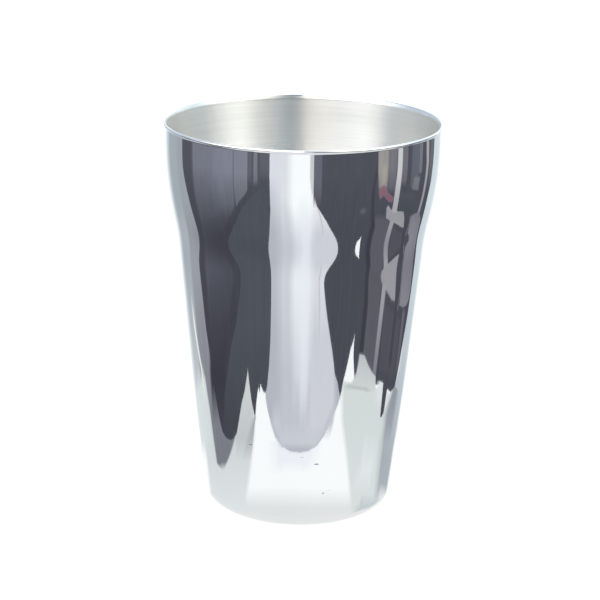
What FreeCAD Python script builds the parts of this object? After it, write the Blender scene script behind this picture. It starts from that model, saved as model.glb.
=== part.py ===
import FreeCAD, Part

# Deep drawn stainless cup, one piece of sheet.
#
# Frame: +Z up along the axis of the cup, origin at the centre of the base on the plane it stands on.
# Units: millimetres. Every driving dimension is a cell of the sheet "Dimensions".
#
# The wall is one closed section in the XZ plane, turned once round the Z axis.
# From the axis outwards and up, the outer line of the section is:
#   base panel (raised a little so the cup stands on a ring), blend, standing ring, base corner,
#   barrel (a very large arc low on the wall), straight taper, waist (hollow arc), short straight,
#   shoulder (round arc), upright collar, and the rounded lip, which stands proud of the collar.
# The inner line runs back down at one sheet thickness from it: its arcs share their centres with
# the outer arcs.

import math
import os

import Sketcher

V = FreeCAD.Vector

doc = FreeCAD.newDocument("drawn_cup")

# ---------------------------------------------------------------- driving dimensions
sheet = doc.addObject("Spreadsheet::Sheet", "Dimensions")
CELLS = [
    # alias, value, what it is
    ("cup_height", "126.0", "standing plane to the top of the lip"),
    ("mouth_radius", "44.0", "outside of the lip"),
    ("sheet_thickness", "0.7", "drawn sheet, the same all over"),
    ("collar_radius", "43.5", "outside of the upright collar"),
    ("collar_depth", "5.3", "lip top down to where the shoulder starts"),
    ("shoulder_radius", "114.0", "round arc below the collar"),
    ("shoulder_angle", "11.75", "steepest half angle of the wall, below the shoulder"),
    ("shoulder_straight", "4.5", "straight length between shoulder and waist"),
    ("waist_radius", "60.0", "hollow arc below the shoulder"),
    ("taper_angle", "5.5", "half angle of the long straight taper"),
    ("barrel_depth", "76.0", "lip top down to where the barrel starts"),
    ("barrel_radius", "1380.0", "very large arc low on the wall"),
    ("corner_radius", "5.5", "outside of the base corner"),
    ("panel_rise", "0.5", "underside of the base panel above the standing plane"),
    ("panel_blend", "2.0", "outside radius of the two arcs between panel and ring"),
    ("ring_inner_radius", "22.6", "inner edge of the flat standing ring"),
    ("lip_radius", "0.45", "full round of the lip"),
    ("lip_under_radius", "0.6", "hollow under the lip, outside"),
    ("lip_flare_radius", "3.0", "inside, where the wall turns out to the lip"),
]
D = {}
for row, (alias, value, note) in enumerate(CELLS, start=1):
    sheet.set("A%d" % row, alias)
    sheet.set("B%d" % row, value)
    sheet.set("C%d" % row, note)
    sheet.setAlias("B%d" % row, alias)
    D[alias] = float(value)
doc.recompute()

# ---------------------------------------------------------------- first positions for the sketch
# The constraints below fix the section; these positions only start the solver on the right branch.
H = D["cup_height"]
T = D["sheet_thickness"]
a1 = math.radians(D["shoulder_angle"])
a2 = math.radians(D["taper_angle"])
R1, R2, R3, RC = D["shoulder_radius"], D["waist_radius"], D["barrel_radius"], D["corner_radius"]

# angle convention for wall arcs: a point of slope a on an arc whose centre is inside the cup is
# centre + r*(cos a, -sin a) going down the wall; on the waist, whose centre is outside, it is
# centre + r*(-cos a, sin a)
c_sh = (D["collar_radius"] - R1, H - D["collar_depth"])
p_land = (D["collar_radius"], c_sh[1])


def on(c, r, ang):
    return (c[0] + r * math.cos(ang), c[1] + r * math.sin(ang))


p_sh = on(c_sh, R1, -a1)
p_st = (p_sh[0] - D["shoulder_straight"] * math.sin(a1), p_sh[1] - D["shoulder_straight"] * math.cos(a1))
c_wa = (p_st[0] + R2 * math.cos(a1), p_st[1] - R2 * math.sin(a1))
p_wa = on(c_wa, R2, math.pi - a2)
z_ba = H - D["barrel_depth"]
p_ba = (p_wa[0] - (p_wa[1] - z_ba) * math.tan(a2), z_ba)
c_ba = (p_ba[0] - R3 * math.cos(a2), p_ba[1] + R3 * math.sin(a2))
# the corner arc touches the barrel from inside and the standing plane: its centre is RC up
c_co_z = RC
a3 = math.asin((c_ba[1] - c_co_z) / (R3 - RC))
c_co = (c_ba[0] + (R3 - RC) * math.cos(a3), c_co_z)
p_co = on(c_co, RC, -a3)
p_fl = (c_co[0], 0.0)

RB = D["panel_blend"]
p_ring = (D["ring_inner_radius"], 0.0)
c_b2 = (p_ring[0], RB)                    # lower blend arc, centre above the ring
th = math.acos(1.0 - D["panel_rise"] / (2.0 * RB))
p_bb = on(c_b2, RB, -math.pi / 2.0 - th)
c_b1 = (p_ring[0] - 2.0 * RB * math.sin(th), D["panel_rise"] - RB)   # upper blend arc, centre below the panel
p_pan = (c_b1[0], D["panel_rise"])

RL, RO, RI = D["lip_radius"], D["lip_under_radius"], D["lip_flare_radius"]
c_lip = (D["mouth_radius"] - RL, H - RL)
dx = D["collar_radius"] + RO - c_lip[0]
c_un = (D["collar_radius"] + RO, c_lip[1] - math.sqrt((RL + RO) ** 2 - dx ** 2))
ang_un = math.atan2(c_un[1] - c_lip[1], c_un[0] - c_lip[0])
p_un = on(c_lip, RL, ang_un)
p_top = (D["collar_radius"], c_un[1])
x_in = D["collar_radius"] - T
dx = x_in + RI - c_lip[0]
c_in = (x_in + RI, c_lip[1] - math.sqrt((RI - RL) ** 2 - dx ** 2))
ang_in = math.atan2(c_lip[1] - c_in[1], c_lip[0] - c_in[0])
p_in = on(c_lip, RL, ang_in)
p_itop = (x_in, c_in[1])

# inner line: the same centres, one thickness away
q_land = (x_in, p_land[1])
q_sh = on(c_sh, R1 - T, -a1)
q_st = on(c_wa, R2 + T, math.pi - a1)
q_wa = on(c_wa, R2 + T, math.pi - a2)
q_ba = on(c_ba, R3 - T, -a2)
q_co = on(c_co, RC - T, -a3)
q_fl = (c_co[0], T)
q_ring = (c_b2[0], T)
q_bb = on(c_b2, RB - T, -math.pi / 2.0 - th)
q_pan = (c_b1[0], D["panel_rise"] + T)

# ---------------------------------------------------------------- body, sketch
body = doc.addObject("PartDesign::Body", "cup")
body.Label = "cup"


def plane(of_body, role):
    for feature in of_body.Origin.OriginFeatures:
        if feature.Role == role:
            return feature
    raise RuntimeError("no plane " + role)


sk = body.newObject("Sketcher::SketchObject", "wall_section")
sk.AttachmentSupport = [(plane(body, "XZ_Plane"), "")]
sk.MapMode = "FlatFace"
doc.recompute()


def vec(p):
    return V(p[0], p[1], 0)


def line(p, q):
    return sk.addGeometry(Part.LineSegment(vec(p), vec(q)), False)


def arc(c, r, p, q):
    """Arc of circle from p to q, the short way. Returns (index, pos of p, pos of q): an arc always
    runs anticlockwise, so its own start may be q."""
    s = math.atan2(p[1] - c[1], p[0] - c[0])
    e = math.atan2(q[1] - c[1], q[0] - c[0])
    turn = (e - s + math.pi) % (2.0 * math.pi) - math.pi
    circle = Part.Circle(vec(c), V(0, 0, 1), r)
    if turn > 0:
        return sk.addGeometry(Part.ArcOfCircle(circle, s, s + turn), False), 1, 2
    return sk.addGeometry(Part.ArcOfCircle(circle, e, e - turn), False), 2, 1


def arc_big(c, r, p, q):
    """Arc of more than half a turn, from p anticlockwise to q."""
    s = math.atan2(p[1] - c[1], p[0] - c[0])
    e = math.atan2(q[1] - c[1], q[0] - c[0])
    if e < s:
        e += 2.0 * math.pi
    return sk.addGeometry(Part.ArcOfCircle(Part.Circle(vec(c), V(0, 0, 1), r), s, e), False), 1, 2


seg = []          # (name, geometry index, position code of its first point, of its last point)


def add_line(name, p, q):
    seg.append((name, line(p, q), 1, 2))


def add_arc(name, c, r, p, q, big=False):
    g, first, last = (arc_big if big else arc)(c, r, p, q)
    seg.append((name, g, first, last))


# outer line, axis to lip
add_line("panel", (0.0, D["panel_rise"]), p_pan)
add_arc("blend_up", c_b1, RB, p_pan, p_bb)
add_arc("blend_low", c_b2, RB, p_bb, p_ring)
add_line("ring", p_ring, p_fl)
add_arc("corner", c_co, RC, p_fl, p_co)
add_arc("barrel", c_ba, R3, p_co, p_ba)
add_line("taper", p_ba, p_wa)
add_arc("waist", c_wa, R2, p_wa, p_st)
add_line("straight", p_st, p_sh)
add_arc("shoulder", c_sh, R1, p_sh, p_land)
add_line("collar", p_land, p_top)
add_arc("lip_under", c_un, RO, p_top, p_un)
add_arc("lip", c_lip, RL, p_un, p_in, big=True)
# inner line, lip to axis
add_arc("lip_flare", c_in, RI, p_in, p_itop)
add_line("collar_in", p_itop, q_land)
add_arc("shoulder_in", c_sh, R1 - T, q_land, q_sh)
add_line("straight_in", q_sh, q_st)
add_arc("waist_in", c_wa, R2 + T, q_st, q_wa)
add_line("taper_in", q_wa, q_ba)
add_arc("barrel_in", c_ba, R3 - T, q_ba, q_co)
add_arc("corner_in", c_co, RC - T, q_co, q_fl)
add_line("ring_in", q_fl, q_ring)
add_arc("blend_low_in", c_b2, RB - T, q_ring, q_bb)
add_arc("blend_up_in", c_b1, RB + T, q_bb, q_pan)
add_line("panel_in", q_pan, (0.0, D["panel_rise"] + T))
add_line("axis_edge", (0.0, D["panel_rise"] + T), (0.0, D["panel_rise"]))

G = {name: g for name, g, first, last in seg}
FIRST = {name: first for name, g, first, last in seg}
LAST = {name: last for name, g, first, last in seg}

C = Sketcher.Constraint


def named(constraint, name=None, expression=None):
    i = sk.addConstraint(constraint)
    if name:
        sk.renameConstraint(i, name)
        sk.setExpression("Constraints." + name, expression)
    return i


# neighbours meet smoothly, except at the axis edge
sharp = {("panel_in", "axis_edge"), ("axis_edge", "panel")}
for k in range(len(seg)):
    one, two = seg[k], seg[(k + 1) % len(seg)]
    kind = "Coincident" if (one[0], two[0]) in sharp else "Tangent"
    named(C(kind, one[1], one[3], two[1], two[2]))

# directions
for name in ("panel", "ring", "panel_in", "ring_in"):
    named(C("Horizontal", G[name]))
for name in ("collar", "collar_in"):
    named(C("Vertical", G[name]))
named(C("PointOnObject", G["panel"], FIRST["panel"], -2))
named(C("PointOnObject", G["axis_edge"], FIRST["axis_edge"], -2))
named(C("PointOnObject", G["ring"], FIRST["ring"], -1))
named(C("Parallel", G["taper"], G["taper_in"]))
named(C("Parallel", G["straight"], G["straight_in"]))

# inner arcs share the centres of the outer arcs
for name in ("shoulder", "waist", "barrel", "corner", "blend_low", "blend_up"):
    named(C("Coincident", G[name + "_in"], 3, G[name], 3))
named(C("Equal", G["blend_up"], G["blend_low"]))

# sizes
S = "Dimensions."
named(C("DistanceY", G["axis_edge"], 2, G["axis_edge"], 1, T), "sheet", S + "sheet_thickness")
named(C("DistanceY", -1, 1, G["panel"], FIRST["panel"], D["panel_rise"]), "rise", S + "panel_rise")
named(C("Radius", G["blend_up"], RB), "blend", S + "panel_blend")
named(C("DistanceX", -1, 1, G["ring"], FIRST["ring"], D["ring_inner_radius"]), "ring_r", S + "ring_inner_radius")
named(C("Radius", G["corner"], RC), "corner_r", S + "corner_radius")
named(C("Radius", G["barrel"], R3), "barrel_r", S + "barrel_radius")
named(C("DistanceY", -1, 1, G["taper"], FIRST["taper"], z_ba), "barrel_top", S + "cup_height - " + S + "barrel_depth")
named(C("Angle", -1, 1, G["taper"], 1, math.pi / 2.0 - a2), "taper_a", "90 - " + S + "taper_angle")
named(C("Radius", G["waist"], R2), "waist_r", S + "waist_radius")
named(C("Angle", -1, 1, G["straight"], 1, math.pi / 2.0 - a1), "shoulder_a", "90 - " + S + "shoulder_angle")
named(C("Distance", G["straight"], D["shoulder_straight"]), "straight_l", S + "shoulder_straight")
named(C("Radius", G["shoulder"], R1), "shoulder_r", S + "shoulder_radius")
named(C("DistanceY", -1, 1, G["collar"], FIRST["collar"], c_sh[1]), "collar_foot", S + "cup_height - " + S + "collar_depth")
named(C("DistanceX", -1, 1, G["collar"], FIRST["collar"], D["collar_radius"]), "collar_r", S + "collar_radius")
named(C("Radius", G["lip"], RL), "lip_r", S + "lip_radius")
named(C("DistanceX", -1, 1, G["lip"], 3, c_lip[0]), "lip_x", S + "mouth_radius - " + S + "lip_radius")
named(C("DistanceY", -1, 1, G["lip"], 3, c_lip[1]), "lip_z", S + "cup_height - " + S + "lip_radius")
named(C("Radius", G["lip_under"], RO), "lip_under_r", S + "lip_under_radius")
named(C("Radius", G["lip_flare"], RI), "lip_flare_r", S + "lip_flare_radius")
doc.recompute()

solved = sk.solve()
print("sketch solve", solved, "constraints", sk.ConstraintCount, "fully constrained", sk.FullyConstrained)
if solved != 0:
    raise SystemExit("the section does not solve: %s" % solved)

# ---------------------------------------------------------------- the drawn shell
wall = body.newObject("PartDesign::Revolution", "drawn_wall")
wall.Profile = sk
wall.ReferenceAxis = (sk, ["V_Axis"])
wall.Angle = 360.0
body.Tip = wall
body.Placement = FreeCAD.Placement(V(0, 0, 0), FreeCAD.Rotation(0, 0, 0, 1))
doc.recompute()

# ---------------------------------------------------------------- checks before anything is written
for obj in doc.Objects:
    if "Invalid" in obj.State or "Error" in obj.State:
        raise SystemExit("%s failed: %s" % (obj.Name, obj.State))
parts = [body]
for piece in parts:
    shape = piece.Shape
    if shape.isNull() or not shape.isValid() or len(shape.Solids) != 1:
        raise SystemExit("%s has no single valid solid" % piece.Label)

box = body.Shape.optimalBoundingBox()
base_ring = c_co[0] - D["ring_inner_radius"]
print("box X %.3f..%.3f Y %.3f..%.3f Z %.3f..%.3f" % (box.XMin, box.XMax, box.YMin, box.YMax, box.ZMin, box.ZMax))
print("volume %.1f mm3, steel mass %.3f kg, standing ring %.2f mm wide, flat edge at r %.3f"
      % (body.Shape.Volume, body.Shape.Volume * 7.93e-6, base_ring, c_co[0]))

os.makedirs("parts", exist_ok=True)
for piece in parts:
    piece.Shape.exportStep("parts/%s.step" % piece.Label)
    print("wrote parts/%s.step" % piece.Label)
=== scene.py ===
import math

import bpy
from mathutils import Matrix, Vector


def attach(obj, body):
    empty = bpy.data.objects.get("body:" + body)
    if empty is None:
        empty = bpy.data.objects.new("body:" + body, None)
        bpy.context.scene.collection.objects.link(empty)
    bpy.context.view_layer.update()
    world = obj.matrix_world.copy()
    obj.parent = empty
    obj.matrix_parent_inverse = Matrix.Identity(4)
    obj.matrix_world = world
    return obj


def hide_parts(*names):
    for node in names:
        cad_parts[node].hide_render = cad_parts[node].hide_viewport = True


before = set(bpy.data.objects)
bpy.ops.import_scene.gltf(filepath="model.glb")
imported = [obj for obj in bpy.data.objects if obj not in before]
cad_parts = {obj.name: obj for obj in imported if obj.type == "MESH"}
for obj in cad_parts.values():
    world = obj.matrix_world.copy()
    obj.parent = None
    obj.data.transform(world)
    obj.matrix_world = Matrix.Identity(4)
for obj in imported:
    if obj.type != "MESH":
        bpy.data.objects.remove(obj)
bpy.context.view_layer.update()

MM = 0.001
scene = bpy.context.scene
scene.view_settings.view_transform = "Standard"
scene.view_settings.look = "None"
scene.cycles.max_bounces = 16
scene.cycles.glossy_bounces = 12
scene.cycles.transparent_max_bounces = 24
scene.cycles.sample_clamp_indirect = 6.0

# ------------------------------------------------------------------ camera
PITCH = math.radians(16.914)
ROLL = math.radians(-0.894)
fwd = Vector((0.0, math.cos(PITCH), -math.sin(PITCH)))
right0 = Vector((1.0, 0.0, 0.0))
up0 = right0.cross(fwd)
right = right0 * math.cos(ROLL) - up0 * math.sin(ROLL)
up = right0 * math.sin(ROLL) + up0 * math.cos(ROLL)
cam_data = bpy.data.cameras.new("camera")
cam_data.lens = 116.60
cam_data.sensor_width = 36.0
cam_data.clip_start = 0.01
cam_data.shift_x = -0.5 / 600.0
cam_data.shift_y = 0.3 / 600.0
cam_data.clip_end = 60.0
cam = bpy.data.objects.new("camera", cam_data)
scene.collection.objects.link(cam)
back = -fwd
cam.matrix_world = Matrix((
    (right.x, up.x, back.x, 0.0),
    (right.y, up.y, back.y, -0.600),
    (right.z, up.z, back.z, 0.249462),
    (0.0, 0.0, 0.0, 1.0)))
scene.camera = cam

# ------------------------------------------------------------------ the cup: section of the wall
# the same sizes as the CAD section, in mm
H, T = 126.0, 0.7
a1, a2 = math.radians(11.75), math.radians(5.5)
R1, R2, R3, RC, RB = 114.0, 60.0, 1380.0, 5.5, 2.0
STRAIGHT = 4.5


def on(c, r, ang):
    return (c[0] + r * math.cos(ang), c[1] + r * math.sin(ang))


c_sh = (43.5 - R1, H - 5.3)
p_sh = on(c_sh, R1, -a1)
p_st = (p_sh[0] - STRAIGHT * math.sin(a1), p_sh[1] - STRAIGHT * math.cos(a1))
c_wa = (p_st[0] + R2 * math.cos(a1), p_st[1] - R2 * math.sin(a1))
p_wa = on(c_wa, R2, math.pi - a2)
p_ba = (p_wa[0] - (p_wa[1] - 50.0) * math.tan(a2), 50.0)
c_ba = (p_ba[0] - R3 * math.cos(a2), p_ba[1] + R3 * math.sin(a2))
a3 = math.asin((c_ba[1] - RC) / (R3 - RC))
c_co = (c_ba[0] + (R3 - RC) * math.cos(a3), RC)
th = math.acos(1.0 - 0.5 / (2.0 * RB))
c_b2 = (22.6, RB)
c_b1 = (22.6 - 2.0 * RB * math.sin(th), 0.5 - RB)
c_lip = (43.55, H - 0.45)
c_un = (44.1, c_lip[1] - math.sqrt(1.05 ** 2 - 0.55 ** 2))
ang_un = math.atan2(c_un[1] - c_lip[1], c_un[0] - c_lip[0])
c_in = (45.8, c_lip[1] - math.sqrt(2.55 ** 2 - 2.25 ** 2))
ang_in = math.atan2(c_lip[1] - c_in[1], c_lip[0] - c_in[0])

section = []          # (r, z, normal r, normal z, finish)


def add(r, z, nr, nz, finish):
    if section and abs(section[-1][0] - r) < 1e-6 and abs(section[-1][1] - z) < 1e-6:
        return
    n = math.hypot(nr, nz)
    section.append((r, z, nr / n, nz / n, finish))


def arc(c, r, s, e, steps, side, finish):
    """From angle s to e. side is +1 where the metal's outside is away from the centre."""
    for k in range(steps + 1):
        a = s + (e - s) * k / steps
        add(c[0] + r * math.cos(a), c[1] + r * math.sin(a), side * math.cos(a), side * math.sin(a), finish)


def line(p, q, steps, n, finish):
    for k in range(steps + 1):
        f = k / steps
        add(p[0] + (q[0] - p[0]) * f, p[1] + (q[1] - p[1]) * f, n[0], n[1], finish)


def wall_angle(z):
    """Half angle of the outside of the wall at height z."""
    if z >= c_sh[1]:
        return 0.0
    if z >= p_sh[1]:
        return math.asin((c_sh[1] - z) / R1)
    if z >= p_st[1]:
        return a1
    if z >= p_wa[1]:
        return math.asin((z - c_wa[1]) / R2)
    if z >= 50.0:
        return a2
    return math.asin((c_ba[1] - max(z, Z_CORNER)) / R3)


# A drawn wall has no sudden change of curvature, so the angle eases over a few mm from one arc to the next
# (two moving means of 5 mm). The wall stays within 0.1 mm of the arcs.
Z_CORNER = c_co[1] + RC * math.sin(-a3)
STEP = 0.05
count_z = int(round((c_un[1] - Z_CORNER) / STEP))
STEP = (c_un[1] - Z_CORNER) / count_z
angles = [wall_angle(Z_CORNER + STEP * k) for k in range(count_z + 1)]
half = int(round(2.5 / STEP))
for _ in range(2):
    sums = [0.0]
    padded = [2 * angles[0] - angles[half - k] for k in range(half)] + angles + [0.0] * half
    for v in padded:
        sums.append(sums[-1] + v)
    angles = [(sums[k + 2 * half + 1] - sums[k]) / (2 * half + 1) for k in range(len(angles))]
radii = [0.0] * (count_z + 1)
radii[-1] = 43.5
for k in range(count_z - 1, -1, -1):
    radii[k] = radii[k + 1] - STEP * math.tan(0.5 * (angles[k] + angles[k + 1]))
gap = (c_co[0] + RC * math.cos(a3)) - radii[0]
ROWS = 74
WALL = []
for k in range(ROWS + 1):
    i = int(round(count_z * k / ROWS))
    low = 1.0 - i / count_z
    WALL.append((Z_CORNER + STEP * i, radii[i] + gap * low, angles[i]))

HP = math.pi / 2.0
OUT, INN = 0, 1
line((0.0, 0.5), (c_b1[0], 0.5), 8, (0, -1), OUT)
arc(c_b1, RB, HP, HP - th, 5, -1, OUT)
arc(c_b2, RB, -HP - th, -HP, 5, 1, OUT)
line((22.6, 0.0), (c_co[0], 0.0), 2, (0, -1), OUT)
arc(c_co, RC, -HP, -a3, 28, 1, OUT)
for z_, r_, a_ in WALL[1:]:
    add(r_, z_, math.cos(a_), -math.sin(a_), OUT)
arc(c_un, 0.6, -math.pi, ang_un - math.pi, 6, -1, OUT)
arc(c_lip, 0.45, ang_un, ang_in, 16, 1, OUT)
arc(c_in, 3.0, ang_in, math.pi, 7, 1, INN)
for z_, r_, a_ in WALL[-1:0:-1]:
    add(r_ - T * math.cos(a_), z_ + T * math.sin(a_), -math.cos(a_), math.sin(a_), INN)
arc(c_co, RC - T, -a3, -HP, 22, -1, INN)
line((c_co[0], T), (22.6, T), 2, (0, 1), INN)
arc(c_b2, RB - T, -HP, -HP - th, 4, -1, INN)
arc(c_b1, RB + T, HP - th, HP, 4, 1, INN)
line((c_b1[0], 0.5 + T), (0.0, 0.5 + T), 8, (0, 1), INN)

TURN = 300
COS = [math.cos(2 * math.pi * k / TURN) for k in range(TURN)]
SIN = [math.sin(2 * math.pi * k / TURN) for k in range(TURN)]
verts, norms = [], []
rows = []
for r, z, nr, nz, fin in section:
    if r < 1e-6:
        rows.append(len(verts))
        verts.append((0.0, 0.0, z * MM))
        norms.append((0.0, 0.0, nz))
    else:
        rows.append(len(verts))
        for k in range(TURN):
            verts.append((r * COS[k] * MM, r * SIN[k] * MM, z * MM))
            norms.append((nr * COS[k], nr * SIN[k], nz))
length = [0.0]
for k in range(1, len(section)):
    length.append(length[-1] + math.hypot(section[k][0] - section[k - 1][0], section[k][1] - section[k - 1][1]))
total = length[-1]
faces, mats, uvs = [], [], []
for k in range(len(section) - 1):
    one, two = rows[k], rows[k + 1]
    pole1, pole2 = section[k][0] < 1e-6, section[k + 1][0] < 1e-6
    fin = INN if section[k][4] == INN and section[k + 1][4] == INN else OUT
    v1, v2 = length[k] / total, length[k + 1] / total
    for j in range(TURN):
        n = (j + 1) % TURN
        u1, u2 = j / TURN, (j + 1) / TURN
        if pole1:
            faces.append((one, two + n, two + j))
            uvs += [((u1 + u2) / 2, v1), (u2, v2), (u1, v2)]
        elif pole2:
            faces.append((one + j, one + n, two))
            uvs += [(u1, v1), (u2, v1), ((u1 + u2) / 2, v2)]
        else:
            faces.append((one + j, one + n, two + n, two + j))
            uvs += [(u1, v1), (u2, v1), (u2, v2), (u1, v2)]
        mats.append(fin)
mesh = bpy.data.meshes.new("drawn_cup")
mesh.from_pydata(verts, [], faces)
mesh.update()
mesh.polygons.foreach_set("material_index", mats)
mesh.polygons.foreach_set("use_smooth", [True] * len(faces))
layer = mesh.uv_layers.new(name="wall")
layer.data.foreach_set("uv", [c for uv in uvs for c in uv])
mesh.validate()
mesh.normals_split_custom_set_from_vertices(norms)
mesh.update()
cup = bpy.data.objects.new("drawn_cup", mesh)
scene.collection.objects.link(cup)


# ------------------------------------------------------------------ materials
def new_material(name):
    m = bpy.data.materials.new(name)
    m.use_nodes = True
    m.node_tree.nodes.clear()
    return m, m.node_tree


def node(nt, kind, **values):
    n = nt.nodes.new(kind)
    for key, value in values.items():
        setattr(n, key, value)
    return n


def math_node(nt, op, a, b=None, clamp=False):
    n = node(nt, "ShaderNodeMath", operation=op, use_clamp=clamp)
    for i, s in enumerate((a, b)):
        if s is None:
            continue
        if isinstance(s, (int, float)):
            n.inputs[i].default_value = s
        else:
            nt.links.new(s, n.inputs[i])
    return n.outputs[0]


def ranged(nt, value, f0, f1, t0, t1, smooth=False):
    n = node(nt, "ShaderNodeMapRange", interpolation_type="SMOOTHSTEP" if smooth else "LINEAR")
    nt.links.new(value, n.inputs["Value"])
    n.inputs["From Min"].default_value = f0
    n.inputs["From Max"].default_value = f1
    n.inputs["To Min"].default_value = t0
    n.inputs["To Max"].default_value = t1
    return n.outputs["Result"]


def place(nt):
    """Object position in mm, its x, y, z, and the run along the section (height plus radius)."""
    tc = node(nt, "ShaderNodeTexCoord")
    sc = node(nt, "ShaderNodeVectorMath", operation="SCALE")
    nt.links.new(tc.outputs["Object"], sc.inputs[0])
    sc.inputs["Scale"].default_value = 1000.0
    sep = node(nt, "ShaderNodeSeparateXYZ")
    nt.links.new(sc.outputs[0], sep.inputs[0])
    x, y, z = sep.outputs
    rr = math_node(nt, "SQRT", math_node(nt, "ADD", math_node(nt, "MULTIPLY", x, x), math_node(nt, "MULTIPLY", y, y)))
    return sc.outputs[0], x, y, z, rr, math_node(nt, "ADD", z, rr)


def ring_noise(nt, x, y, run, round_scale, run_scale, detail=2.0, rough=0.5):
    """Noise drawn out round the cup: fine along the section, long round it."""
    c = node(nt, "ShaderNodeCombineXYZ")
    nt.links.new(math_node(nt, "MULTIPLY", x, round_scale), c.inputs[0])
    nt.links.new(math_node(nt, "MULTIPLY", y, round_scale), c.inputs[1])
    nt.links.new(math_node(nt, "MULTIPLY", run, run_scale), c.inputs[2])
    n = node(nt, "ShaderNodeTexNoise", noise_dimensions="3D")
    nt.links.new(c.outputs[0], n.inputs["Vector"])
    n.inputs["Scale"].default_value = 1.0
    n.inputs["Detail"].default_value = detail
    n.inputs["Roughness"].default_value = rough
    return n.outputs["Fac"]


def mark(nt, x, z, y, cx, cz, half_x, half_z):
    """1 inside a small mark on the front of the wall, 0 outside it."""
    dx = math_node(nt, "DIVIDE", math_node(nt, "SUBTRACT", x, cx), half_x)
    dz = math_node(nt, "DIVIDE", math_node(nt, "SUBTRACT", z, cz), half_z)
    d = math_node(nt, "SQRT", math_node(nt, "ADD", math_node(nt, "MULTIPLY", dx, dx), math_node(nt, "MULTIPLY", dz, dz)))
    inside = ranged(nt, d, 0.45, 1.0, 1.0, 0.0, smooth=True)
    front = math_node(nt, "LESS_THAN", y, 0.0)
    return math_node(nt, "MULTIPLY", inside, front)


def polished():
    m, nt = new_material("polished_steel")
    pos, x, y, z, rr, run = place(nt)
    b = node(nt, "ShaderNodeBsdfPrincipled")
    b.inputs["Metallic"].default_value = 1.0
    out = node(nt, "ShaderNodeOutputMaterial")
    nt.links.new(b.outputs[0], out.inputs[0])
    # colour: steel, with a very faint haze that changes over centimetres
    haze = node(nt, "ShaderNodeTexNoise", noise_dimensions="3D")
    nt.links.new(pos, haze.inputs["Vector"])
    haze.inputs["Scale"].default_value = 0.045
    haze.inputs["Detail"].default_value = 3.0
    lines = ring_noise(nt, x, y, run, 0.012, 3.2, 3.0, 0.62)
    # marks: three small dark nicks low on the front, and two faint ones
    marks = None
    for cx, cz, hx, hz, deep in ((-14.95, 28.62, 0.85, 0.17, 1.0), (5.84, 23.25, 1.0, 0.26, 0.8),
                                 (8.08, 12.74, 0.5, 0.24, 0.75), (1.2, 25.8, 0.7, 0.2, 0.25),
                                 (9.9, 13.6, 0.7, 0.22, 0.12)):
        one = math_node(nt, "MULTIPLY", mark(nt, x, z, y, cx, cz, hx, hz), deep)
        marks = one if marks is None else math_node(nt, "MAXIMUM", marks, one)
    shade = ranged(nt, haze.outputs["Fac"], 0.3, 0.7, 0.0, 1.0)
    mix = node(nt, "ShaderNodeMix", data_type="RGBA")
    nt.links.new(shade, mix.inputs["Factor"])
    mix.inputs["A"].default_value = (0.775, 0.785, 0.790, 1)
    mix.inputs["B"].default_value = (0.800, 0.805, 0.812, 1)
    dark = node(nt, "ShaderNodeMix", data_type="RGBA")
    nt.links.new(marks, dark.inputs["Factor"])
    nt.links.new(mix.outputs["Result"], dark.inputs["A"])
    dark.inputs["B"].default_value = (0.16, 0.165, 0.17, 1)
    nt.links.new(dark.outputs["Result"], b.inputs["Base Color"])
    # roughness: near mirror, a little duller along the polishing lines and in the marks
    rough = ranged(nt, lines, 0.35, 0.75, 0.020, 0.055)
    rough = math_node(nt, "ADD", rough, math_node(nt, "MULTIPLY", marks, 0.4))
    nt.links.new(rough, b.inputs["Roughness"])
    # relief: polishing lines of a fraction of a micrometre, the slow wave that drawing leaves, the nicks
    wave = node(nt, "ShaderNodeTexNoise", noise_dimensions="3D")
    nt.links.new(pos, wave.inputs["Vector"])
    wave.inputs["Scale"].default_value = 0.06
    wave.inputs["Detail"].default_value = 1.0
    height = math_node(nt, "MULTIPLY", wave.outputs["Fac"], WAVE)
    height = math_node(nt, "ADD", height, math_node(nt, "MULTIPLY", lines, LINES))
    height = math_node(nt, "SUBTRACT", height, math_node(nt, "MULTIPLY", marks, 0.02))
    bump = node(nt, "ShaderNodeBump")
    bump.inputs["Strength"].default_value = 1.0
    bump.inputs["Distance"].default_value = MM
    nt.links.new(height, bump.inputs["Height"])
    nt.links.new(bump.outputs[0], b.inputs["Normal"])
    return m


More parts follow.
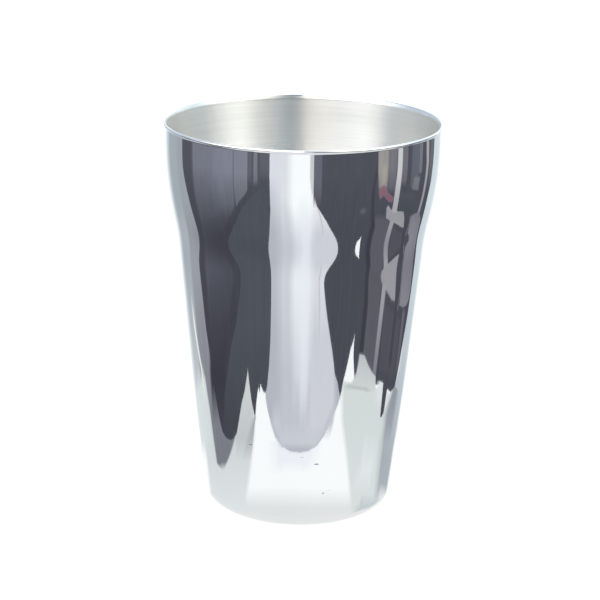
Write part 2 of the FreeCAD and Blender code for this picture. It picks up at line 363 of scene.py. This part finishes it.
def satin():
    m, nt = new_material("brushed_steel_inside")
    pos, x, y, z, rr, run = place(nt)
    b = node(nt, "ShaderNodeBsdfPrincipled")
    b.inputs["Metallic"].default_value = 1.0
    b.inputs["Anisotropic"].default_value = 0.85
    b.inputs["Anisotropic Rotation"].default_value = 0.25
    tan = node(nt, "ShaderNodeTangent", direction_type="RADIAL", axis="Z")
    nt.links.new(tan.outputs[0], b.inputs["Tangent"])
    out = node(nt, "ShaderNodeOutputMaterial")
    nt.links.new(b.outputs[0], out.inputs[0])
    fine = ring_noise(nt, x, y, run, 0.02, 4.2, 3.0, 0.6)
    coarse = ring_noise(nt, x, y, run, 0.008, 0.9, 2.0, 0.5)
    both = math_node(nt, "ADD", math_node(nt, "MULTIPLY", fine, 0.7), math_node(nt, "MULTIPLY", coarse, 0.3))
    mix = node(nt, "ShaderNodeMix", data_type="RGBA")
    nt.links.new(ranged(nt, both, 0.3, 0.7, 0.0, 1.0), mix.inputs["Factor"])
    mix.inputs["A"].default_value = (0.735, 0.745, 0.740, 1)
    mix.inputs["B"].default_value = (0.830, 0.835, 0.825, 1)
    nt.links.new(mix.outputs["Result"], b.inputs["Base Color"])
    nt.links.new(ranged(nt, both, 0.3, 0.7, 0.26, 0.38), b.inputs["Roughness"])
    bump = node(nt, "ShaderNodeBump")
    bump.inputs["Strength"].default_value = 1.0
    bump.inputs["Distance"].default_value = MM
    nt.links.new(math_node(nt, "MULTIPLY", fine, 0.010), bump.inputs["Height"])
    nt.links.new(bump.outputs[0], b.inputs["Normal"])
    return m


WAVE, LINES = 0.006, 0.0002
mesh.materials.append(polished())
mesh.materials.append(satin())
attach(cup, "root")
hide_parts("cup")

# ------------------------------------------------------------------ floor
def disc(name, radius, z, count=96):
    me = bpy.data.meshes.new(name)
    me.from_pydata([(radius * math.cos(2 * math.pi * k / count), radius * math.sin(2 * math.pi * k / count), z)
                    for k in range(count)], [], [tuple(range(count))])
    ob = bpy.data.objects.new(name, me)
    scene.collection.objects.link(ob)
    return ob


floor = disc("floor", 12.0, 0.0)
m, nt = new_material("floor_white")
dif = node(nt, "ShaderNodeBsdfDiffuse")
dif.inputs["Color"].default_value = (0.20, 0.20, 0.20, 1)
emi = node(nt, "ShaderNodeEmission")
emi.inputs["Color"].default_value = (1, 1, 1, 1)
emi.inputs["Strength"].default_value = 0.86
both = node(nt, "ShaderNodeAddShader")
nt.links.new(dif.outputs[0], both.inputs[0])
nt.links.new(emi.outputs[0], both.inputs[1])
out = node(nt, "ShaderNodeOutputMaterial")
nt.links.new(both.outputs[0], out.inputs[0])
floor.data.materials.append(m)
floor.visible_glossy = False

# ------------------------------------------------------------------ what the polished wall mirrors
# The wall leans outwards, so all of its outside looks down. It mirrors what lies low around the cup: the white
# paper near it, and beyond its edge, lower down, the darker room with a light way through it. Plain cards stand
# for these. Only reflections see them.
DROP = -50.0
REFLECTS = 0.80


def tone(*rgb):
    """Light that shows as this 8-bit colour once the metal has mirrored it."""
    if len(rgb) == 1:
        rgb = rgb * 3
    out = []
    for c in rgb:
        c = c / 255.0
        out.append((c / 12.92 if c <= 0.04045 else ((c + 0.055) / 1.055) ** 2.4) / REFLECTS)
    return tuple(out)


_level = [0]


def hide_from_all_but_mirrors(ob):
    ob.visible_camera = False
    ob.visible_diffuse = False
    ob.visible_transmission = False
    ob.visible_volume_scatter = False
    ob.visible_shadow = False


def card_material(name, near, far, r0, r1, streak, soft):
    m, nt = new_material(name)
    geo = node(nt, "ShaderNodeNewGeometry")
    sep = node(nt, "ShaderNodeSeparateXYZ")
    nt.links.new(geo.outputs["Position"], sep.inputs[0])
    x, y = sep.outputs[0], sep.outputs[1]
    r = math_node(nt, "SQRT", math_node(nt, "ADD", math_node(nt, "MULTIPLY", x, x), math_node(nt, "MULTIPLY", y, y)))
    lr = math_node(nt, "LOGARITHM", math_node(nt, "MULTIPLY", r, 1000.0), math.e)
    mix = node(nt, "ShaderNodeMix", data_type="RGBA")
    nt.links.new(ranged(nt, lr, math.log(r0), math.log(r1), 0.0, 1.0), mix.inputs["Factor"])
    mix.inputs["A"].default_value = near + (1,)
    mix.inputs["B"].default_value = far + (1,)
    em = node(nt, "ShaderNodeEmission")
    nt.links.new(mix.outputs["Result"], em.inputs["Color"])
    if streak:
        az = math_node(nt, "ARCTAN2", x, math_node(nt, "MULTIPLY", y, -1.0))
        c = node(nt, "ShaderNodeCombineXYZ")
        nt.links.new(math_node(nt, "MULTIPLY", az, 22.0), c.inputs[0])
        nt.links.new(math_node(nt, "MULTIPLY", lr, 2.2), c.inputs[1])
        n = node(nt, "ShaderNodeTexNoise", noise_dimensions="2D")
        nt.links.new(c.outputs[0], n.inputs["Vector"])
        n.inputs["Scale"].default_value = 1.0
        n.inputs["Detail"].default_value = 3.0
        nt.links.new(ranged(nt, n.outputs["Fac"], 0.25, 0.75, 1.0 - streak, 1.0 + streak), em.inputs["Strength"])
    out = node(nt, "ShaderNodeOutputMaterial")
    if soft:
        at = node(nt, "ShaderNodeAttribute", attribute_name="cover")
        tr = node(nt, "ShaderNodeBsdfTransparent")
        ms = node(nt, "ShaderNodeMixShader")
        nt.links.new(at.outputs["Fac"], ms.inputs[0])
        nt.links.new(tr.outputs[0], ms.inputs[1])
        nt.links.new(em.outputs[0], ms.inputs[2])
        nt.links.new(ms.outputs[0], out.inputs[0])
    else:
        nt.links.new(em.outputs[0], out.inputs[0])
    return m


def polar(az, r, z):
    a = math.radians(az)
    return (r * math.sin(a) * MM, -r * math.cos(a) * MM, z * MM)


def card(name, pts, near, far=None, r0=100.0, r1=800.0, streak=0.0):
    """A flat card with its corners at (azimuth, radius mm); azimuth 0 is towards the camera, + to its right."""
    _level[0] += 1
    z = DROP - 0.6 + 0.03 * _level[0]
    fine = []
    for k in range(len(pts)):
        (A, RA), (B, RBB) = pts[k], pts[(k + 1) % len(pts)]
        steps = max(1, int(math.ceil(max(abs(B - A) / 3.0, abs(math.log(RBB / RA)) / 0.25))))
        for s in range(steps):
            f = s / steps
            fine.append(polar(A + (B - A) * f, RA * (RBB / RA) ** f, z))
    me = bpy.data.meshes.new(name)
    me.from_pydata(fine, [], [tuple(range(len(fine)))])
    me.materials.append(card_material(name, near, far or near, r0, r1, streak, False))
    ob = bpy.data.objects.new(name, me)
    scene.collection.objects.link(ob)
    hide_from_all_but_mirrors(ob)
    return ob


def band(name, left, right, near, far=None, r0=100.0, r1=800.0, soft=(1.0, 1.0, 0.0, 0.0), streak=0.0):
    """A card between two edges, each a list of (azimuth, radius) from near to far, that fades out over
    soft degrees at the left and right and soft parts of its radius at the near and far end."""
    _level[0] += 1
    z = DROP - 0.6 + 0.03 * _level[0]

    def at(edge, r):
        if r <= edge[0][1]:
            return edge[0][0]
        for (A, RA), (B, RBB) in zip(edge, edge[1:]):
            if RA <= r <= RBB:
                return A + (B - A) * math.log(r / RA) / math.log(RBB / RA)
        return edge[-1][0]

    lo, hi = min(left[0][1], right[0][1]), max(left[-1][1], right[-1][1])
    rs = [(lo, 1.0)]
    if soft[2]:
        rs = [(lo, 0.0), (lo * (1 + soft[2]), 1.0)]
    n = max(2, int(math.ceil(math.log(hi / lo) / 0.2)))
    rs += [(lo * (hi / lo) ** (k / n), 1.0) for k in range(1, n) if lo * (hi / lo) ** (k / n) > rs[-1][0] * 1.01
           and lo * (hi / lo) ** (k / n) < hi / (1 + soft[3]) / 1.01]
    rs += [(hi, 1.0)] if not soft[3] else [(hi / (1 + soft[3]), 1.0), (hi, 0.0)]
    vv, cover, ff = [], [], []
    width = None
    for r, c in rs:
        A, B = at(left, r), at(right, r)
        azs = [(A - soft[0] / 2, 0.0), (A + soft[0] / 2, 1.0)] if soft[0] else [(A, 1.0)]
        m_ = max(2, int(math.ceil(abs(right[0][0] - left[0][0]) / 3.0)))
        azs += [(A + (B - A) * k / m_, 1.0) for k in range(1, m_)]
        azs += [(B - soft[1] / 2, 1.0), (B + soft[1] / 2, 0.0)] if soft[1] else [(B, 1.0)]
        width = len(azs)
        for a_, ca in azs:
            vv.append(polar(a_, r, z))
            cover.append(c * ca)
    for i in range(len(rs) - 1):
        for j in range(width - 1):
            o = i * width + j
            ff.append((o, o + 1, o + width + 1, o + width))
    me = bpy.data.meshes.new(name)
    me.from_pydata(vv, [], ff)
    attr = me.attributes.new("cover", "FLOAT", "POINT")
    attr.data.foreach_set("value", cover)
    me.materials.append(card_material(name, near, far or near, r0, r1, streak, True))
    ob = bpy.data.objects.new(name, me)
    scene.collection.objects.link(ob)
    hide_from_all_but_mirrors(ob)
    return ob


FAR = 9000.0
ground = disc("ground", FAR * MM, (DROP - 0.6) * MM)
ground.data.materials.append(card_material("ground", tone(249, 251, 251), tone(236, 240, 242), 180, 600, 0.0, False))
hide_from_all_but_mirrors(ground)

# paper close to the cup, a little greyer than full white
band("paper_near", [(-180, 1), (-180, 121)], [(180, 1), (180, 121)], tone(228, 230, 229), tone(224, 227, 226),
     70, 112, soft=(0, 0, 0, 0.13))
band("paper_left", [(-132, 46), (-132, 235)], [(-60, 46), (-61, 111), (-56, 125), (-51.5, 139), (-48, 158), (-44.8, 178), (-44, 235)],
     tone(223, 227, 228), tone(206, 212, 212), 105, 165, soft=(14, 5, 0.5, 0.0))
band("paper_right", [(70, 60), (65, 114), (57.4, 127), (53.5, 145), (48.7, 162), (44.0, 182), (42.3, 199), (42.3, 214)],
     [(112, 60), (112, 150), (106, 185), (106, 214)], tone(218, 223, 222), tone(211, 218, 217), 90, 210,
     soft=(5, 16, 0.4, 0.0))
band("paper_right_clear", [(62, 118), (72, 118), (72, 170)], [(92, 118), (92, 170)], tone(225, 230, 232), None, 100, 200,
     soft=(14, 10, 0.15, 0.25))
band("paper_right_low", [(74, 62), (74, 118)], [(116, 62), (116, 118)], tone(196, 205, 208), tone(194, 204, 208), 70, 118,
     soft=(14, 16, 0.35, 0.1))
band("grey_right", [(106, 112), (104, 160), (106, 212), (122, 240), (129, 360), (133, 600), (136, FAR)],
     [(140, 112), (140, 160), (146, 212), (150, 360), (154, 600), (156, FAR)],
     tone(168, 175, 181), tone(204, 214, 220), 150, 480, soft=(14, 12, 0.15, 0.0))
band("grey_right_dark", [(108, 160), (104, 214), (114, 226)], [(124, 160), (126, 214), (128, 226)], tone(162, 168, 174),
     tone(150, 154, 161), 160, 205, soft=(9, 9, 0.15, 0.0))
band("haze_left_out", [(-154, 150), (-152, FAR)], [(-110, 150), (-110, FAR)], tone(212, 219, 220), tone(205, 212, 217),
     180, 600, soft=(14, 4, 0.15, 0))
band("haze_left", [(-142, 225), (-146, 380), (-147, FAR)], [(-110, 225), (-105, 380), (-105, FAR)], tone(186, 191, 196),
     tone(160, 169, 176), 240, 420, soft=(12, 0, 0.12, 0), streak=0.02)
band("haze_left_dark", [(-124.5, 230), (-124.5, 360), (-128, FAR)], [(-104, 230), (-104, FAR)], tone(146, 148, 155),
     tone(157, 162, 170), 300, 420, soft=(4, 0, 0.1, 0), streak=0.03)
band("gleam_left", [(-119.5, 203), (-119.7, 229), (-122.4, 255), (-125.6, 272), (-129.4, 292), (-133.2, 345)],
     [(-117.2, 203), (-117.2, 229), (-119.6, 255), (-122.6, 272), (-126.6, 292), (-130.6, 345)], tone(224, 232, 222),
     tone(236, 242, 238), 210, 300, soft=(1.6, 1.2, 0.06, 0.12))
band("tongue", [(-92, 135), (-99, 136.5), (-103.8, 141), (-106.1, 160), (-108.4, 186), (-111.8, 219), (-116.7, 248), (-121.5, 277),
                (-123.4, 330)],
     [(-90, 135), (-87.1, 139), (-77.7, 149), (-72, 158), (-68, 170), (-68, 330)], tone(121, 124, 132), tone(142, 144, 151),
     150, 300, soft=(2.5, 2.5, 0.05, 0.12), streak=0.05)
band("step_left", [(-70, 142), (-73, 152), (-68, 165), (-64, 180), (-60, 195), (-53, 226)],
     [(-50.5, 142), (-48.3, 158), (-45.4, 177), (-46.8, 186), (-49, 200), (-50, 226)],
     tone(192, 197, 199), tone(204, 208, 208), 155, 205, soft=(3, 0.8, 0.14, 0.0), streak=0.02)
band("step_shade", [(-62, 140), (-58, 152), (-52, 166), (-46.2, 178)], [(-51.5, 140), (-49, 152), (-47.2, 163), (-44.9, 178)],
     tone(190, 195, 198), tone(164, 168, 171), 146, 172, soft=(5, 1.0, 0.12, 0.0))

# the light way in front
band("way_foot", [(-22, 131), (-26, 150), (-26, 160)], [(9, 131), (20, 150), (20, 160)], tone(238, 240, 246), None, 134, 150,
     soft=(14, 14, 0.07, 0.02))
card("way", [(-33.3, 196), (-31.5, 184), (-28.2, 172), (-23.9, 160), (-17, 152), (-8.3, 148), (2, 147), (10.5, 148.6), (19.1, 153),
             (26.6, 162), (33.8, 176), (39.9, 192), (41.8, 199), (41, 340), (14, FAR), (-33, FAR)],
     tone(180, 183, 192), tone(217, 220, 227), 255, 620, streak=0.02)
band("way_low", [(-16, 149.5), (-22, 160), (-27, 172), (-29, 195)], [(14, 149.5), (24, 160), (31, 172), (38, 195)],
     tone(200, 203, 211), None, 150, 200, soft=(7, 3, 0.04, 0.14))
band("way_left", [(-19, 158), (-19, FAR)], [(34, 158), (38, 205), (30, 270), (20, 340), (20, FAR)], tone(193, 196, 205),
     tone(221, 224, 228), 215, 430, soft=(9, 3, 0.1, 0), streak=0.015)
band("way_right", [(9, 158), (9, FAR)], [(18, 158), (24, 166), (31, 180), (37, 200), (30, 270), (24, 340), (24, FAR)],
     tone(205, 207, 214), tone(241, 244, 250), 250, 420, soft=(6, 3, 0.08, 0), streak=0.015)
band("way_mid", [(-4, 180), (-7.5, 260), (-10, 400), (-10, FAR)], [(10, 180), (10, 300), (9, 400), (9, FAR)],
     tone(208, 211, 221), tone(248, 253, 253), 205, 380, soft=(6, 6, 0.2, 0))
band("way_core", [(2.5, 165), (0.5, 220), (-1.5, 300), (-4, 420), (-4, FAR)], [(9.5, 165), (7.5, 220), (6.5, 300), (5, 420), (5, FAR)],
     tone(222, 225, 233), tone(250, 253, 254), 210, 460, soft=(4, 4, 0.3, 0))
band("way_line", [(18.3, 246), (16, 300), (13, 345), (11.5, 370)], [(19, 246), (17, 300), (14, 345), (12, 370)],
     tone(196, 190, 196), None, 240, 370, soft=(0.8, 0.8, 0.08, 0.05))
band("way_edge", [(8, 430), (6.6, 520), (5.9, 620), (5.9, FAR)], [(10, 430), (10, FAR)], tone(210, 211, 214),
     tone(200, 200, 204), 430, 800, soft=(0.8, 0, 0.1, 0))

# the dark side on the left
LEFT_FOOT = [(-84.2, 162), (-80.5, 160), (-76.8, 159), (-72.6, 160), (-68.1, 164), (-65.5, 172), (-62.6, 182), (-60.0, 192), (-56.6, 201.5),
             (-54.3, 211), (-51.6, 223), (-50.1, 207), (-48.7, 194), (-46.8, 184), (-45.1, 176.5), (-43.3, 191), (-41.5, 202), (-40.4, 206),
             (-39.5, 200), (-38.6, 208.5), (-35.5, 201), (-33.3, 200), (-31.6, 206), (-30.5, 215), (-29.2, 226), (-27.8, 246)]
card("dark_left", [
    (-115.5, FAR), (-115.3, 644), (-114.2, 560), (-112.4, 490), (-110.6, 430), (-108.4, 365), (-106.6, 323),
    (-105.6, 300), (-104.3, 278), (-102.1, 259), (-99.4, 232), (-96.7, 209), (-94.4, 192), (-91.8, 178), (-88.9, 168)]
    + LEFT_FOOT + [
    (-27.0, 270), (-26.4, 300), (-25.6, 345), (-25.7, 405), (-26.1, 560), (-26.5, 800), (-26.5, FAR)],
    tone(66, 67, 77), tone(82, 84, 94), 260, 640, streak=0.06)
card("dark_left_teal", [(-70, 248), (-63, 268), (-57.5, 296), (-53, 335), (-45, 395), (-37, 455), (-29, 540), (-25.9, 590),
                        (-25.7, 405), (-25.6, 345), (-26.4, 300), (-27.0, 270)] + LEFT_FOOT[::-1] + [(-86, 176), (-82, 205)],
     tone(70, 72, 81), tone(79, 83, 92), 175, 262, streak=0.05)
band("dark_left_wedge", [(-103, 175), (-103, 262)], [(-84, 175), (-76, 262)], tone(56, 57, 67), tone(62, 63, 73), 180, 260,
     soft=(4, 7, 0.25, 0.12))
band("dark_left_upper", [(-97, 270), (-98.5, 330), (-99.6, 385), (-100.6, 460), (-101, FAR)],
     [(-72, 270), (-66, 300), (-61.5, 325), (-56.5, 356), (-56.7, FAR)], tone(79, 81, 91), tone(118, 121, 132), 310, 660,
     soft=(3, 2.5, 0.22, 0), streak=0.06)
band("dark_left_upper_side", [(-72, 330), (-76, 480), (-80, FAR)], [(-57, 330), (-57.4, 480), (-57.4, FAR)], tone(92, 96, 106),
     tone(127, 130, 144), 340, 640, soft=(14, 0.6, 0.15, 0), streak=0.05)
card("dark_left_panel", [(-55.6, 362), (-52, 395), (-47.2, 432), (-44.6, 470), (-44.3, 684), (-45, FAR), (-56.4, FAR), (-56.4, 480)],
     tone(102, 106, 115), tone(129, 130, 142), 370, 640, streak=0.04)
band("dark_left_strip", [(-39.4, 500), (-39.4, FAR)], [(-35.9, 560), (-35.9, FAR)], tone(104, 107, 117), tone(122, 123, 133),
     500, 700, soft=(0.8, 0.8, 0.12, 0))
band("dark_left_post", [(-44, 500), (-44, FAR)], [(-40.6, 500), (-40.6, FAR)], tone(86, 89, 99), tone(98, 101, 112),
     500, 700, soft=(0.6, 0.6, 0.15, 0))
band("dark_left_last", [(-34.6, 560), (-34.6, FAR)], [(-26, 560), (-26, FAR)], tone(86, 88, 97), tone(96, 98, 106), 560, 740,
     soft=(1.5, 0, 0.15, 0), streak=0.05)

# the dark side on the right
card("dark_right", [
    (9.4, FAR), (9.4, 790), (9.3, 640), (9.0, 560), (9.0, 500), (9.8, 449), (10.7, 406), (12.0, 370), (15.4, 338),
    (18.5, 312), (20.4, 299), (22.5, 282), (25.2, 265), (28.4, 249), (30.8, 238), (32.8, 228), (34.7, 217.5), (37.9, 211),
    (39.7, 203), (41.3, 197), (42.5, 203), (43.7, 212), (46.1, 222), (48.1, 232), (49.8, 242), (52.1, 249), (53.4, 256.4),
    (53.0, 247), (53.3, 236), (54.7, 225), (56.6, 213.5), (58.2, 215), (58.6, 225), (60.3, 233), (62.3, 238), (64.8, 234),
    (66.8, 229), (70.5, 223), (74.3, 219), (79.2, 216.5), (85.4, 216), (93.8, 219), (95.3, 213), (95.4, 200), (95.6, 186.5),
    (97.0, 184), (100.9, 190), (101.8, 199), (102.3, 211), (103.4, 216), (109.5, 215), (114.3, 219), (118.5, 225),
    (120.5, 237), (122.8, 254), (124.6, 271), (127.2, 293), (129.6, 318), (131.0, 350), (132.0, 400), (133.0, 470),
    (135, 562), (136, 668), (136.4, 812), (137, FAR)],
    tone(74, 76, 85), tone(79, 82, 91), 250, 700, streak=0.05)
band("dark_right_edge", [(8.9, 360), (8.9, FAR)], [(15.3, 360), (15.3, FAR)], tone(92, 91, 101), tone(103, 105, 117), 380, 600,
     soft=(0, 0.8, 0.2, 0), streak=0.03)
band("dark_right_ghost", [(49, 330), (50, 372)], [(54, 330), (53, 372)], tone(98, 99, 109), None, 330, 372, soft=(3, 3, 0.05, 0.05))
band("dark_right_plum", [(63, 238), (63, 345)], [(80, 216), (79, 345)], tone(93, 92, 101), tone(92, 92, 102), 230, 340,
     soft=(3, 1, 0.06, 0.1), streak=0.03)
band("dark_right_deep", [(59.5, 240), (61.2, 300), (58.6, 360), (57.6, 480), (62, 800), (62, FAR)],
     [(64, 240), (65.6, 300), (61.2, 360), (60.8, 480), (64.2, 800), (64.2, FAR)],
     tone(62, 61, 69), tone(72, 71, 80), 240, 600, soft=(1.5, 1.5, 0, 0))
band("beige", [(65, 455), (64.2, 500), (62.8, 640), (62.6, 800), (62.6, FAR)], [(72, 455), (72.8, 640), (72.8, FAR)],
     tone(138, 134, 138), tone(153, 150, 148), 480, 640, soft=(1.2, 1.2, 0.12, 0), streak=0.07)
band("beige_core", [(66.5, 500), (66.8, 600), (66.8, 760)], [(70.8, 500), (71, 600), (71, 760)], tone(158, 152, 142),
     tone(166, 162, 148), 500, 700, soft=(2, 2, 0.1, 0.1), streak=0.05)
band("slate_strip", [(72.6, 450), (73, FAR)], [(81.6, 450), (82.2, FAR)], tone(96, 96, 106), tone(118, 118, 124), 450, 700,
     soft=(0.8, 0, 0.1, 0), streak=0.06)
card("plum_red", [(69.5, 520), (65, 490), (64.6, 455), (66.4, 412), (69.6, 440), (72, 424), (75.5, 404), (79.5, 400), (80.8, 428),
                  (77, 446), (73.8, 462), (72, 492)], tone(122, 98, 112), tone(132, 108, 120), 400, 520, streak=0.08)
band("plum_red_core", [(67, 430), (67.5, 500)], [(71, 430), (70, 500)], tone(140, 96, 112), None, 430, 500, soft=(1.6, 1.6, 0.05, 0.06))
band("plum_red_side", [(75, 404), (74.5, 440)], [(80, 404), (79, 440)], tone(132, 94, 110), None, 404, 440, soft=(1.6, 1.6, 0.04, 0.03))
card("grey_box", [(74.4, 372), (76, 384), (79.6, 365), (88.9, 362), (95.5, 366), (98.6, 340), (100.6, 311), (95, 309), (88, 313.5), (80, 319),
                  (75.6, 326)], tone(153, 152, 158), None, streak=0.03)
band("light_leg", [(77.6, 219), (79.2, 259), (80.2, 290), (80.8, 318)], [(81.9, 216), (83.9, 259), (85.4, 290), (85.8, 318)],
     tone(122, 122, 131), tone(158, 157, 164), 222, 300, soft=(1.2, 1.2, 0.02, 0.0), streak=0.03)
band("light_post", [(80.9, 350), (81.6, 500), (82.3, 600), (82.6, 800), (82.6, FAR)],
     [(86.6, 350), (87.2, 500), (87.6, 600), (88, 800), (88, FAR)], tone(170, 169, 174), tone(199, 202, 203), 380, 620,
     soft=(0.8, 0.8, 0.02, 0), streak=0.02)
band("panel_right_a", [(88, 500), (88, FAR)], [(94, 500), (94.5, FAR)], tone(102, 99, 110), tone(114, 112, 123), 500, 700,
     soft=(1, 1, 0.1, 0), streak=0.05)
band("panel_right_b", [(99.5, 490), (97.5, FAR)], [(109.5, 490), (109.5, FAR)], tone(94, 97, 107), tone(99, 103, 115), 490,
     700, soft=(1.5, 1.5, 0.02, 0), streak=0.04)
band("panel_right_c", [(102.5, 480), (104, 590)], [(112, 480), (112.5, 590)], tone(112, 113, 123), tone(122, 123, 132), 480,
     590, soft=(1.2, 1.2, 0.02, 0.05), streak=0.06)
band("panel_right_d", [(109.5, 590), (109.8, FAR)], [(114.4, 590), (114.6, FAR)], tone(114, 114, 122), tone(119, 120, 128),
     590, 800, soft=(0.8, 0.8, 0.05, 0))
band("panel_right_low", [(88, 360), (88, 470)], [(108, 360), (108, 470)], tone(72, 76, 84), tone(82, 85, 93), 360, 470,
     soft=(1, 2, 0.04, 0.06), streak=0.03)
band("panel_right_mid", [(87, 225), (86, 300)], [(114, 225), (114, 300)], tone(80, 81, 91), tone(82, 83, 93), 225, 300,
     soft=(3, 2, 0.05, 0.02), streak=0.05)
band("dark_slot", [(101.2, 236), (101.4, 345)], [(105.2, 236), (105.8, 345)], tone(70, 69, 79), tone(74, 74, 83), 236, 345,
     soft=(1, 0.8, 0.05, 0.05))
band("slot_line", [(105.4, 300), (106.8, 312), (107.6, 330), (106.6, 352), (105.8, 365)],
     [(106.4, 300), (107.9, 312), (108.6, 330), (107.6, 352), (106.8, 365)], tone(122, 121, 130), tone(116, 116, 126), 300, 360,
     soft=(0.8, 0.8, 0.02, 0.02))
card("plum_shelf", [(109, 311), (108.5, 340), (107.8, 356), (111, 368), (117, 384), (123.5, 388), (127.5, 380), (128.6, 352), (127.6, 336),
                    (124, 324), (117, 315)], tone(134, 133, 143), tone(120, 119, 129), 308, 390, streak=0.08)
band("plum_leg", [(116, 232), (117, 318)], [(120.5, 232), (122, 318)], tone(92, 90, 100), tone(108, 105, 115), 232, 318,
     soft=(1.5, 1.5, 0.05, 0.03))
band("thin_post", [(118, 380), (119.2, 416), (121.4, 500), (121.8, 605), (122, 742), (120, 816), (120, FAR)],
     [(121.5, 380), (123, 416), (125.2, 500), (125.8, 605), (126.2, 742), (125, 816), (125, FAR)], tone(146, 144, 153),
     tone(166, 166, 170), 400, 700, soft=(1.4, 1.4, 0.03, 0), streak=0.03)
band("edge_far", [(128, 500), (129, FAR)], [(135.5, 500), (136.4, FAR)], tone(88, 90, 98), tone(106, 107, 112), 500, 700,
     soft=(2, 1, 0.15, 0))
card("bright_nick", [(102.2, 196), (102.0, 206), (102.6, 213.5), (104, 212.5), (107, 211), (107, 200), (104.5, 195)],
     tone(218, 223, 225))
band("paper_line", [(47, 206.5), (47, 210.5)], [(76, 204), (76, 208)], tone(186, 191, 190), None, 200, 215,
     soft=(7, 12, 0.014, 0.014))
band("paper_step", [(50, 208), (57.5, 214), (60, 238)], [(84, 208), (82, 226), (66, 236)], tone(206, 210, 210),
     tone(190, 194, 196), 208, 236, soft=(2, 0, 0.01, 0))
band("paper_bright", [(86, 192), (87, 219)], [(95.3, 192), (95, 219)], tone(222, 226, 227), None, 190, 220, soft=(5, 0, 0.06, 0.0))

# ------------------------------------------------------------------ world: a plain white studio
world = bpy.data.worlds.new("studio")
scene.world = world
world.use_nodes = True
nt = world.node_tree
nt.nodes.clear()
out = node(nt, "ShaderNodeOutputWorld")
bg = node(nt, "ShaderNodeBackground")
bg.inputs["Color"].default_value = (1, 1, 1, 1)
bg.inputs["Strength"].default_value = 1.06
# what the inside and the lip mirror: white above, with the room's lighter and darker sides lower down
tc = node(nt, "ShaderNodeTexCoord")
sep = node(nt, "ShaderNodeSeparateXYZ")
nt.links.new(tc.outputs["Generated"], sep.inputs[0])
wx, wy, wz = sep.outputs
az = math_node(nt, "MULTIPLY", math_node(nt, "ARCTAN2", wx, math_node(nt, "MULTIPLY", wy, -1.0)), 180.0 / math.pi)
ramp = node(nt, "ShaderNodeValToRGB")
nt.links.new(ranged(nt, az, -180.0, 180.0, 0.0, 1.0), ramp.inputs[0])
SIDES = [
    (-180, (1.20, 1.25, 1.30)), (-150, (0.65, 0.75, 0.90)), (-110, (0.55, 0.66, 0.80)), (-92, (1.10, 1.20, 1.35)),
    (-70, (3.00, 2.95, 3.00)), (-38, (3.20, 3.10, 3.10)), (-24, (2.50, 2.30, 2.10)), (-2, (2.20, 2.00, 1.80)),
    (3, (0.15, 0.22, 0.32)), (18, (0.30, 0.42, 0.50)), (40, (2.00, 1.90, 1.70)), (54, (3.10, 3.00, 2.70)),
    (74, (2.70, 2.70, 2.60)), (92, (1.60, 1.70, 1.70)), (110, (0.85, 1.05, 1.20)), (138, (1.20, 1.30, 1.35)),
    (180, (1.20, 1.25, 1.30)),
]
PEAK = 3.3
els = ramp.color_ramp.elements
while len(els) > 1:
    els.remove(els[-1])
for k, (a_, c_) in enumerate(SIDES):
    p_ = (a_ + 180.0) / 360.0
    e_ = els[0] if k == 0 else els.new(p_)
    e_.position = p_
    e_.color = (c_[0] / PEAK, c_[1] / PEAK, c_[2] / PEAK, 1)
mix = node(nt, "ShaderNodeMix", data_type="RGBA")
nt.links.new(ranged(nt, wz, math.sin(math.radians(60)), math.sin(math.radians(86)), 0.0, 1.0, smooth=True), mix.inputs["Factor"])
nt.links.new(ramp.outputs["Color"], mix.inputs["A"])
mix.inputs["B"].default_value = (1.60 / PEAK, 1.60 / PEAK, 1.60 / PEAK, 1)
room = node(nt, "ShaderNodeBackground")
nt.links.new(mix.outputs["Result"], room.inputs["Color"])
room.inputs["Strength"].default_value = PEAK
lp = node(nt, "ShaderNodeLightPath")
ms = node(nt, "ShaderNodeMixShader")
nt.links.new(lp.outputs["Is Camera Ray"], ms.inputs[0])
nt.links.new(room.outputs[0], ms.inputs[1])
nt.links.new(bg.outputs[0], ms.inputs[2])
nt.links.new(ms.outputs[0], out.inputs[0])
